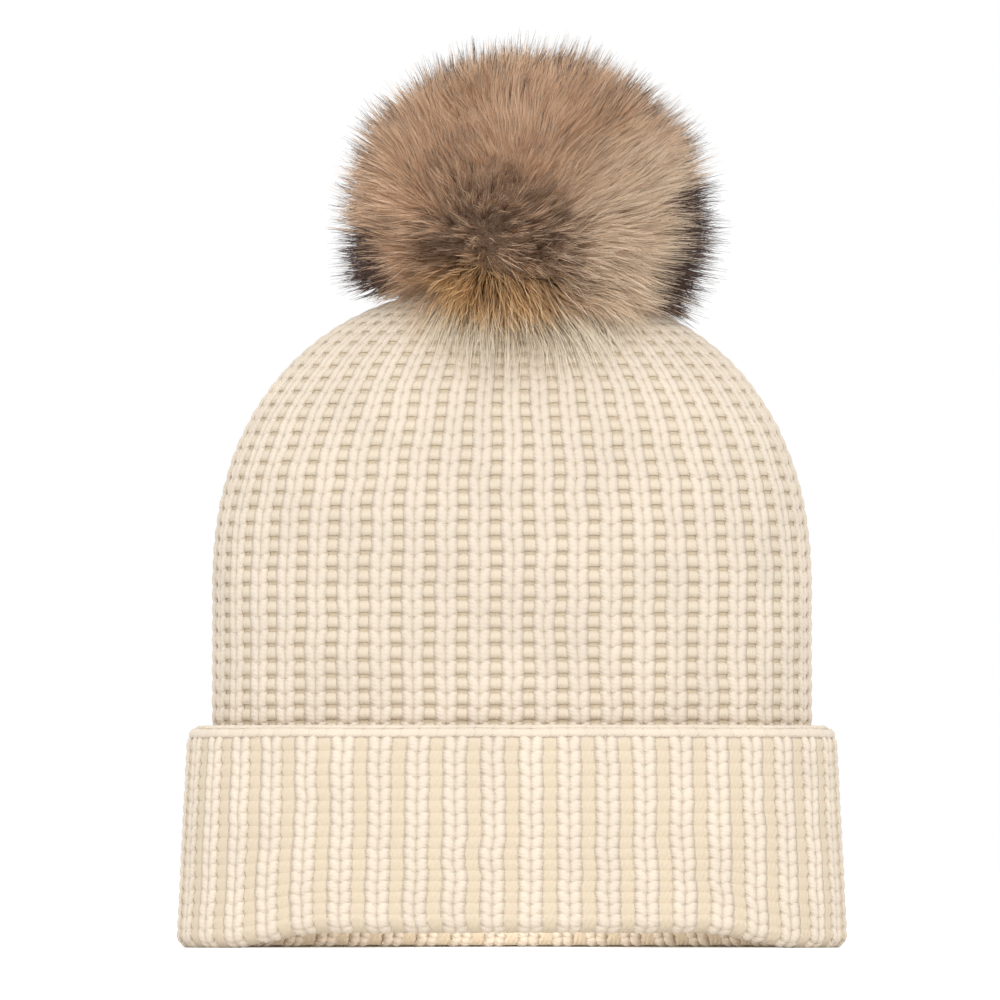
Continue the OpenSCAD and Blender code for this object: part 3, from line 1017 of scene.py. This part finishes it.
def thread_finish(name, colour):
    f = Finish(name, roughness=0.7, sheen=0.1, specular=0.3)
    f.colour(f.mottled(colour, 0.85, 1.05, 900.0, low=0.35, high=0.65))
    lay = f.make("ShaderNodeMapping", {"Vector": f.place(), "Rotation": (0.5, 0.4, 0)})
    f.bump(f.make("ShaderNodeTexWave", {"Vector": lay, "Scale": 700.0}, "Fac"), 0.0003)
    return f.material


def metal_finish(name, colour):
    """Nickel plate with faint rubbing marks."""
    f = Finish(name, roughness=0.3, specular=0.5, metallic=1.0)
    f.colour(f.mottled(colour, 0.86, 1.1, 350.0, 4.0, low=0.35, high=0.7))
    rubbed = {"Value": f.noise(350.0, 4.0), "To Min": 0.2, "To Max": 0.42}
    f.put("Roughness", f.make("ShaderNodeMapRange", rubbed))
    f.bump(f.noise(2500.0, 2.0), 0.00002)
    return f.material


def stuffing_finish(name, colour):
    f = Finish(name, roughness=1.0, sheen=0.3, specular=0.1)
    f.colour(f.mottled(colour, 0.85, 1.0, 160.0, 5.0))
    f.bump(f.noise(500.0, 5.0), 0.0015)
    return f.material


def dress(obj, material):
    obj.data.materials.clear()
    obj.data.materials.append(material)
    return obj


def seat(obj, body, slot, *nodes):
    """Hangs a piece on the empty of the body that it rides on and hides the model's nodes that it stands
    for. slot is not used.
    """
    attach(obj, body)
    if nodes:
        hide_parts(*nodes)
    return obj


def discard(*objects):
    for obj in objects:
        bpy.data.objects.remove(obj, do_unlink=True)


# Pieces


def knit_halves(tree, names, node, ribs, seed, values):
    """Knits the back and the front of a tube of ribs as two pieces."""
    half = ribs // 2
    for name, first in zip(names, (0, half)):
        place = {"Columns": ribs, "First column": first, "Column count": half, "Seed": seed + first}
        seat(tree.grow(name, {**values, **place}), "hat", "cream_knit", node)


class BEANIE_OT_knit_body(bpy.types.Operator):
    """Knits the body of the hat, rib by rib, up to the drawn-in crown"""

    bl_idname = "beanie.knit_body"
    bl_label = "Knit body"

    def execute(self, context):
        knit = settings().knit
        columns = 4 * knit.ribs
        outline = body_meridian(CUFF_H - TUCKED_IN, knit.yarn - BODY_RELIEF, 90)
        guide, length = guide_object("body_guide", body_rings(outline, columns))
        row = knit.body_row / length
        legs = {"base_x": 0.100, "top_x": 0.195, "width": 0.215, "height": 0.0011, "over": 0.22}
        purl = bar(
            half=0.27, sag=-0.10, width=0.42, height=0.0007, z=0.0004, level=0.55, crisp=False, sides=6
        )
        stitch = stitch_object("body_stitch", [leg(-1, **legs), leg(1, **legs), purl])
        values = {
            "Guide": guide,
            "Stitch": stitch,
            "Rows": int(0.985 / row),
            "First row": 0.2 * row,
            "Row height": row,
            "Unevenness": 0.22,
            "Fill": 0.0,
            # The purl bumps deep in the valleys take painted shade at the share depth
            "Material": yarn_finish("cream_yarn", knit.colour, knit.painted_shade, depth=0.45),
        }
        knit_halves(knit_tree(), ("knit_back", "knit_front"), "knit_body", knit.ribs, 3, values)
        discard(guide, stitch)

        # Behind the body's stitches the painted shade is a little darker, for the dark dots between the
        # purl bumps
        back = knit_back_finish("cream_knit_back", knit.colour, tinted(knit.painted_shade, 0.92))
        low = HEM_ROUND * 2
        outside = body_rings(body_meridian(low, BODY_WALL, 60), columns)
        inside = body_rings(body_meridian(low, KNIT_T - INSIDE_WALL, 90), 6 * knit.ribs)
        inside = purl_relief(inside, knit.ribs, knit.cuff_row, PURL_DEPTH)
        piece = two_walls("knit_inside", outside, inside)
        seat(dress(piece, back), "hat", "cream_knit", "knit_body")
        return {"FINISHED"}


class BEANIE_OT_folded_cuff(bpy.types.Operator):
    """Knits the turned-up cuff with its folded hem and its edge"""

    bl_idname = "beanie.folded_cuff"
    bl_label = "Folded cuff"

    def execute(self, context):
        knit = settings().knit
        inset = knit.yarn - CUFF_RELIEF
        columns = 4 * knit.cuff_ribs
        section = cuff_section(inset, 8)
        levels = np.array([z for _, z in section])
        at_hem = 1 - smooth_step((levels - 0.005) / 0.005)
        at_edge = smooth_step((levels - CUFF_H + 0.006) / 0.003)
        rings = cuff_rings(section, columns)
        guide, length = guide_object("cuff_guide", rings, np.maximum(at_hem, at_edge))
        row = knit.cuff_row / length
        edge_at = 1 - (math.pi * (CUFF_T / 2 - inset)) / length
        legs = {"base_x": 0.095, "top_x": 0.185, "width": 0.195, "height": 0.0010, "over": 0.24}
        purl = bar(half=0.32, sag=0.12, width=0.52, height=0.0009, z=0.0002, level=0.45, crisp=True)
        stitch = stitch_object("cuff_stitch", [leg(-1, **legs), leg(1, **legs), purl])
        tree = knit_tree()
        values = {
            "Guide": guide,
            "Stitch": stitch,
            "Rows": int(edge_at / row + 0.5),
            "First row": 0.2 * row,
            "Row height": row,
            "Unevenness": 0.18,
            "Fill": 0.0002,
            # The cuff's yarn is painted a little lighter than the body's, as painted light, and its purl
            # bumps take painted shade at the share depth
            "Material": yarn_finish("cream_cuff_yarn", tinted(knit.colour, 1.06), knit.painted_shade, depth=0.8),
        }
        knit_halves(tree, ("cuff_back", "cuff_front"), "folded_cuff", knit.cuff_ribs, 17, values)

        strand = strand_along(half=0.62, width=0.52, height=0.0010, z=0.0001)
        strand = stitch_object("edge_strand", [strand])
        edge = {
            "Stitch": strand,
            "Columns": 2 * knit.cuff_ribs,
            "First column": 0,
            "Column count": 2 * knit.cuff_ribs,
            "Rows": 2,
            "First row": edge_at - 0.1 * row,
            "Row height": 0.8 * row,
            "Unevenness": 0.25,
            "Fill": 0.0,
            "Seed": 29,
        }
        seat(tree.grow("cuff_edge", {**values, **edge}), "hat", "cream_knit", "folded_cuff")
        discard(guide, stitch, strand)

        # The cuff's lining is painted a little lighter than the body's, as painted light, with painted
        # shade on the wall behind the stitches
        back = knit_back_finish("cream_cuff_back", tinted(knit.colour, 1.05), knit.painted_shade)
        outside = cuff_rings(cuff_section(CUFF_WALL, 6), columns)
        leaf = -KNIT_T + LEAF_WALL_T
        lining = [(SEAT, z) for z in np.linspace(CUFF_H - CUFF_T / 2, LEAF_WALL_LOW, 6)]
        inside = cuff_rings(lining + [(leaf, LEAF_WALL_LOW), (leaf, LEAF_WALL_TOP)], columns)
        rings = np.concatenate([outside[:, :-1], inside[:, :-1]])
        faces = grid_faces(*rings.shape[:2], loop_rows=True)
        piece = smoothed(mesh_object("cuff_inside", rings.reshape(-1, 3), faces))
        seat(dress(piece, back), "hat", "cream_knit", "folded_cuff")
        return {"FINISHED"}


def undercoat(name, reach):
    """The closed mass of short hair round the pom's core, flat underneath like the long hair."""
    rise = -np.cos(np.linspace(0.03, math.pi - 0.03, 44))[:, None]
    turn = circle(84)[None, :]
    flat = np.sqrt(1 - rise**2)
    way = round_points(flat, turn, rise)
    under = np.maximum(-way[..., 2], 0)
    inner = 1 - smooth_step((np.abs(way[..., 0]) - 0.10) / 0.35)
    level = 0.020 + 0.008 * inner
    clumps = np.sin(17 * turn + 9 * rise) * np.sin(23 * rise - 5 * turn) * flat
    length = np.minimum(reach * (1 + 0.025 * clumps), level / (under + 0.0001))
    swell = (1 - under**3) ** (1 / 3) / np.sqrt(1.0001 - under**2)
    shape = np.stack([FUR_WIDTH * swell, swell, np.full_like(swell, FUR_HEIGHT)], 2)
    points = np.array(FUR_MIDDLE) + way * shape * length[..., None]
    obj = solid(name, [points])
    add_attribute(obj, "way", "FLOAT_VECTOR", way)
    add_attribute(obj, "tip", "FLOAT_VECTOR", points)
    return obj


class BEANIE_OT_pom_fur(bpy.types.Operator):
    """Grows the fur of the pom in layers"""

    bl_idname = "beanie.pom_fur"
    bl_label = "Pom fur"

    def execute(self, context):
        fur = settings().fur
        crown, _ = guide_object("crown_guide", body_rings(body_meridian(CUFF_H, 0.0, 60), 120))
        tree = fur_tree()
        plain = fur_finish("fur_tan", 0.06, fur)
        dark = fur_finish("fur_dark_tipped", 0.75, fur)
        piece = undercoat("fur_under", fur.reach * 0.80)
        dress(piece, undercoat_finish("fur_undercoat", fur))
        seat(piece, "pom", "fur", "pom_fur")
        common = {
            "Root centre": tuple(CORE_CENTRE),
            "Root radius": CORE_R - 0.0005,
            "Tip centre": tuple(FUR_MIDDLE),
            "Segments": 4,
            "Tufts": 20.0,
            "Gather": 0.45,
            "Flow": 0.50,
            "Stray": 0.08,
            "Highest": 1.0,
            "Comb": (0.06, 0.0, 0.22),
            "Shape": (FUR_WIDTH, 1.0, FUR_HEIGHT),
            "Droop": 0.002,
            "Fringe": 0.016,
            "Crown": crown,
            "Clearance": 0.003,
        }
        hanging = {"Highest": -0.55, "Comb": (0.0, 0.0, 0.0), "Shape": (0.70, 1.0, FUR_HEIGHT)}
        # name, count, reach, spread, thickness, lowest rise, trim, finish, what else differs
        layers = [
            ("fur_short", 1.0, 0.89, 0.08, 1.15, -0.86, 0.027, plain, {}),
            ("fur_guard_1", 1.0, 0.93, 0.06, 1.1, -0.86, 0.028, plain, {}),
            ("fur_guard_2", 1.0, 0.96, 0.06, 1.0, -0.86, 0.028, plain, {}),
            ("fur_guard_3", 1.0, 0.98, 0.06, 1.0, -0.80, 0.029, plain, {}),
            ("fur_guard_4", 1.0, 1.00, 0.07, 0.9, -0.80, 0.029, dark, {}),
            ("fur_long", 0.8, 1.04, 0.06, 0.75, -0.60, 0.030, dark, {}),
            ("fur_low", 0.35, 1.10, 0.18, 0.8, -0.92, 1.0, plain, hanging),
        ]
        for seed, (name, count, reach, spread, thick, low, trim, finish, change) in enumerate(layers):
            own = {
                "Count": int(fur.hairs * count),
                "Seed": seed,
                "Reach": fur.reach * reach,
                "Spread": spread,
                "Thickness": fur.thickness * thick,
                "Lowest": low,
                "Trim": trim,
                "Material": finish,
            }
            seat(tree.grow(name, {**common, **own, **change}), "pom", "fur", "pom_fur")
        discard(crown)
        return {"FINISHED"}


def plied_ring(node, count, turns):
    """A ring of plied thread, the size of its solid."""
    low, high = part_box(node)
    girth = (high.z - low.z) / 2
    path = round_points(high.x - girth, circle(12 * turns), low.z + girth)
    return solid(node + "_plied", plied(path, (0, 0, 1), count, girth, turns, loop=True), loop=True)


def thread_bundle(node):
    """The shank: a bundle of upright strands with a thread wound round its middle."""
    low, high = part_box(node)
    reach = high.x
    path = round_points(0.0, 0.0, np.linspace(low.z, high.z, 24))
    tubes = plied(path, (1, 0, 0), 7, 0.94 * reach, 0.4) + plied(path, (1, 0, 0), 1, 0.5 * reach, 0)
    level = low.z + (high.z - low.z) * np.linspace(0.25, 0.75, 170)
    coil = round_points(0.88 * reach, np.linspace(0, 14 * math.pi, 170), level)
    return solid(node + "_bundle", tubes + plied(coil, (0, 0, 1), 1, 0.14 * reach, 0))


def sewn_loops(node, rim):
    """Loops of thread through the four sewing holes and over the flange's edge at radius rim."""
    low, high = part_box(node)
    girth, between = 0.00022, 0.00040
    turn = circle(28)
    reach = (rim + 1.4 * girth - SEW_HOLE_AT) / 2
    out = SEW_HOLE_AT + reach + reach * signed_power(np.cos(turn), 0.5)
    rise = (high.z - low.z) / 2 + 1.1 * girth
    level = (low.z + high.z) / 2 + rise * signed_power(np.sin(turn), 0.5)
    tubes = []
    for hole in np.arange(4) * math.pi / 2 + math.pi / 4:
        across = np.array([-math.sin(hole), math.cos(hole), 0])
        for place in (-between, 0, between):
            path = round_points(out, hole, level) + place * across
            tubes += plied(path, across, 2, girth, 3, loop=True, sides=5)
    return solid(node + "_loops", tubes, loop=True)


def felt_disc(node):
    """A disc of felt with a soft, slightly uneven edge, the size of its solid."""
    low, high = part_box(node)
    edge = (high.z - low.z) / 2
    flat = np.linspace(0.0004, high.x - edge, 7)
    bend = np.linspace(-math.pi / 2, math.pi / 2, 9)[1:-1]
    profile = [(r, low.z) for r in flat]
    profile += [(high.x - edge + edge * math.cos(a), low.z + edge + edge * math.sin(a)) for a in bend]
    profile += [(r, high.z) for r in flat[::-1]]
    turn = circle(72)
    uneven = 1 + 0.006 * np.sin(7 * turn + 1) + 0.005 * np.sin(19 * turn)
    return solid(node + "_felt", [turned(profile, len(turn), uneven)])


def seam_cord(node):
    """The linked seam: two strands up the middle of the back, inside the knit."""
    low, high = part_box(node)
    girth = (high.x - low.x) / 2
    wall = np.array([(d, z) for _, d, z in body_meridian(low.z, KNIT_T, 180)])
    height = np.linspace(low.z, high.z, 240)
    depth = np.interp(height, wall[:, 1], wall[:, 0]) - girth - SEAT
    path = np.stack([np.zeros_like(height), depth, height], 1)
    return solid(node + "_cord", plied(path, (1, 0, 0), 2, girth, 24))


def gathered_backing(node):
    """The fur's backing: a thin ball with a flat bottom, pleated where it is gathered."""
    low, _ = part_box(node)
    drop = CORE_CENTRE.z - low.z
    profile = []
    for r, way in ((CORE_R, 1), (CORE_R - BACKING_T, -1)):
        rise = np.linspace(-math.asin(drop / r), math.radians(89), 30)[::way]
        profile += [(r * math.cos(a), CORE_CENTRE.z + r * math.sin(a)) for a in rise]
    turn = circle(168)
    lowness = smooth_step((CORE_CENTRE.z - np.array(profile)[:, 1:]) / drop)
    pleats = 1 + 0.02 * lowness * np.sin(28 * turn[None, :])
    return solid(node + "_gathered", [turned(profile, len(turn), pleats)], loop=True)


def stuffed_ball(node):
    """The stuffing: a lumpy ball with a flat bottom, clear of the backing."""
    low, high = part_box(node)
    reach = high.z - CORE_CENTRE.z
    foot = -math.asin((CORE_CENTRE.z - low.z) / reach)
    rise = np.linspace(foot, math.radians(89), 40)
    profile = [(r, low.z) for r in np.linspace(0.0005, reach * math.cos(foot), 6)[:-1]]
    profile += [(reach * math.cos(a), CORE_CENTRE.z + reach * math.sin(a)) for a in rise]
    turn = circle(72)
    level = np.array(profile)[:, 1:] * 300
    lumps = np.sin(5 * turn + level) * np.sin(3 * turn - 1.7 * level)
    return solid(node + "_lumps", [turned(profile, len(turn), 0.975 + 0.02 * lumps)])


class BEANIE_OT_fittings(bpy.types.Operator):
    """Makes the threads, the felt and the pom's core, and plates the press stud"""

    bl_idname = "beanie.fittings"
    bl_label = "Fittings"

    def execute(self, context):
        fit, knit = settings().fittings, settings().knit
        metal = metal_finish("nickel_plate", fit.metal)
        for name in ("snap_stud", "snap_spring", "snap_socket"):
            dress(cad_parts[name], metal)
        yarn = knit_back_finish("cream_plied_yarn", knit.colour, knit.painted_shade)
        thread = thread_finish("sewing_thread", fit.thread)
        felt = felt_finish("cream_felt", fit.felt)
        backing = felt_finish("fur_backing", fit.backing)
        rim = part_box("snap_stud")[1].x
        made = [
            (seam_cord("back_seam"), yarn, "hat", "cream_yarn", "back_seam"),
            (plied_ring("gather_yarn", 3, 12), yarn, "hat", "cream_yarn", "gather_yarn"),
            (felt_disc("crown_patch"), felt, "hat", "felt", "crown_patch"),
            (thread_bundle("thread_shank"), thread, "shank", "sewing_thread", "thread_shank"),
            (sewn_loops("stud_stitches", rim), thread, "stud", "sewing_thread", "stud_stitches"),
            (sewn_loops("socket_stitches", rim), thread, "pom", "sewing_thread", "socket_stitches"),
            (felt_disc("pom_base_disc"), felt, "pom", "felt", "pom_base_disc"),
            (plied_ring("pom_drawstring", 2, 20), thread, "pom", "sewing_thread", "pom_drawstring"),
            (gathered_backing("pom_backing"), backing, "pom", "fur_backing", "pom_backing"),
        ]
        for piece, finish, body, slot, node in made:
            seat(dress(piece, finish), body, slot, node)
        filling = stuffed_ball("pom_filling")
        dress(filling, stuffing_finish("fibre_stuffing", fit.stuffing))
        seat(filling, "pom", "stuffing", "pom_filling")
        return {"FINISHED"}


def add_lamp(name, kind, energy):
    data = bpy.data.lights.new(name, kind)
    data.energy = energy
    return link(bpy.data.objects.new(name, data))


class BEANIE_OT_stage(bpy.types.Operator):
    """Sets up the floor, the lamps and the camera"""

    bl_idname = "beanie.stage"
    bl_label = "Stage"

    def execute(self, context):
        stage = settings().stage
        scene = context.scene
        scene.view_settings.view_transform = "Standard"

        # The floor shines a little where it is seen, so that it is white and still takes the hat's shadow
        size = 40.0
        corners = [(-size, -size, 0), (size, -size, 0), (size, size, 0), (-size, size, 0)]
        floor = mesh_object("floor", corners, [(0, 1, 2, 3)])
        f = Finish("pale_floor", roughness=1.0, specular=0.0)
        f.colour(f.mix(f.noise(3.0), tinted(stage.floor, 0.995), stage.floor))
        rays = ("Is Camera Ray", "Is Glossy Ray", "Is Transmission Ray")
        straight, mirrored, through = f.make("ShaderNodeLightPath", {}, *rays)
        seen = f.maths("MAXIMUM", f.maths("MAXIMUM", straight, mirrored), through)
        f.put("Emission Color", WHITE)
        f.put("Emission Strength", seen * 0.20)
        dress(floor, f.material)

        world = bpy.data.worlds.new("studio")
        scene.world = world
        world.use_nodes = True
        sky = Graph(world.node_tree)
        light = sky.tree.nodes["Background"].inputs
        straight, through = sky.make("ShaderNodeLightPath", {}, "Is Camera Ray", "Is Transmission Ray")
        levels = {"Value": sky.maths("MAXIMUM", straight, through), "To Min": 0.84, "To Max": 1.0}
        sky.feed(light["Color"], WHITE)
        sky.feed(light["Strength"], sky.make("ShaderNodeMapRange", levels))

        # name, turn in degrees, strength, width in degrees
        suns = [("key", (56, 0, 18), 1.15, 50), ("fill", (64, 0, -38), 0.60, 70)]
        for name, turn, strength, width in suns:
            lamp = add_lamp(name, "SUN", strength)
            lamp.data.angle = math.radians(width)
            lamp.rotation_euler = [math.radians(a) for a in turn]

        # A small lamp inside the hat shows the back hem under the lifted front one
        lamp = add_lamp("inside", "POINT", 0.14)
        lamp.data.shadow_soft_size = 0.02
        lamp.location = (0, 0, 0.012)

        data = bpy.data.cameras.new("camera")
        camera = link(bpy.data.objects.new("camera", data))
        target = Vector(((IMAGE / 2 - MIDDLE_X) * PIXEL, -HALF_D, (FLOOR_Y - IMAGE / 2) * PIXEL))
        camera.location = (target.x, target.y - stage.distance, stage.height)
        away = target - camera.location
        camera.rotation_euler = away.to_track_quat("-Z", "Y").to_euler()
        data.sensor_width = 36.0
        data.lens = data.sensor_width * away.length / (IMAGE * PIXEL)
        data.clip_end = 200.0
        scene.camera = camera
        return {"FINISHED"}


class BeanieSettings(bpy.types.PropertyGroup):
    """All settings of the beanie."""

    knit: PointerProperty(name="Knit", description="The knit", type=KnitSettings)
    fur: PointerProperty(name="Fur", description="The pom's fur", type=FurSettings)
    fittings: PointerProperty(name="Fittings", description="The small fittings", type=FittingSettings)
    stage: PointerProperty(name="Stage", description="The floor and the camera", type=StageSettings)


STEPS = (
    BEANIE_OT_stage,
    BEANIE_OT_knit_body,
    BEANIE_OT_folded_cuff,
    BEANIE_OT_fittings,
    BEANIE_OT_pom_fur,
)


class BEANIE_PT_panel(bpy.types.Panel):
    """Lists the steps that build the beanie"""

    bl_idname = "BEANIE_PT_panel"
    bl_label = "Pom pom beanie"
    bl_space_type = "VIEW_3D"
    bl_region_type = "UI"
    bl_category = "Beanie"

    def draw(self, context):
        for step in STEPS:
            self.layout.operator(step.bl_idname)


SETTINGS = (KnitSettings, FurSettings, FittingSettings, StageSettings, BeanieSettings)
CLASSES = (*SETTINGS, *STEPS, BEANIE_PT_panel)


def register():
    for cls in CLASSES:
        bpy.utils.register_class(cls)
    bpy.types.Scene.beanie = PointerProperty(type=BeanieSettings)


def unregister():
    del bpy.types.Scene.beanie
    for cls in reversed(CLASSES):
        bpy.utils.unregister_class(cls)


def main():
    register()
    bpy.ops.beanie.stage()
    bpy.ops.beanie.knit_body()
    bpy.ops.beanie.folded_cuff()
    bpy.ops.beanie.fittings()
    bpy.ops.beanie.pom_fur()


if __name__ == "__main__":
    main()
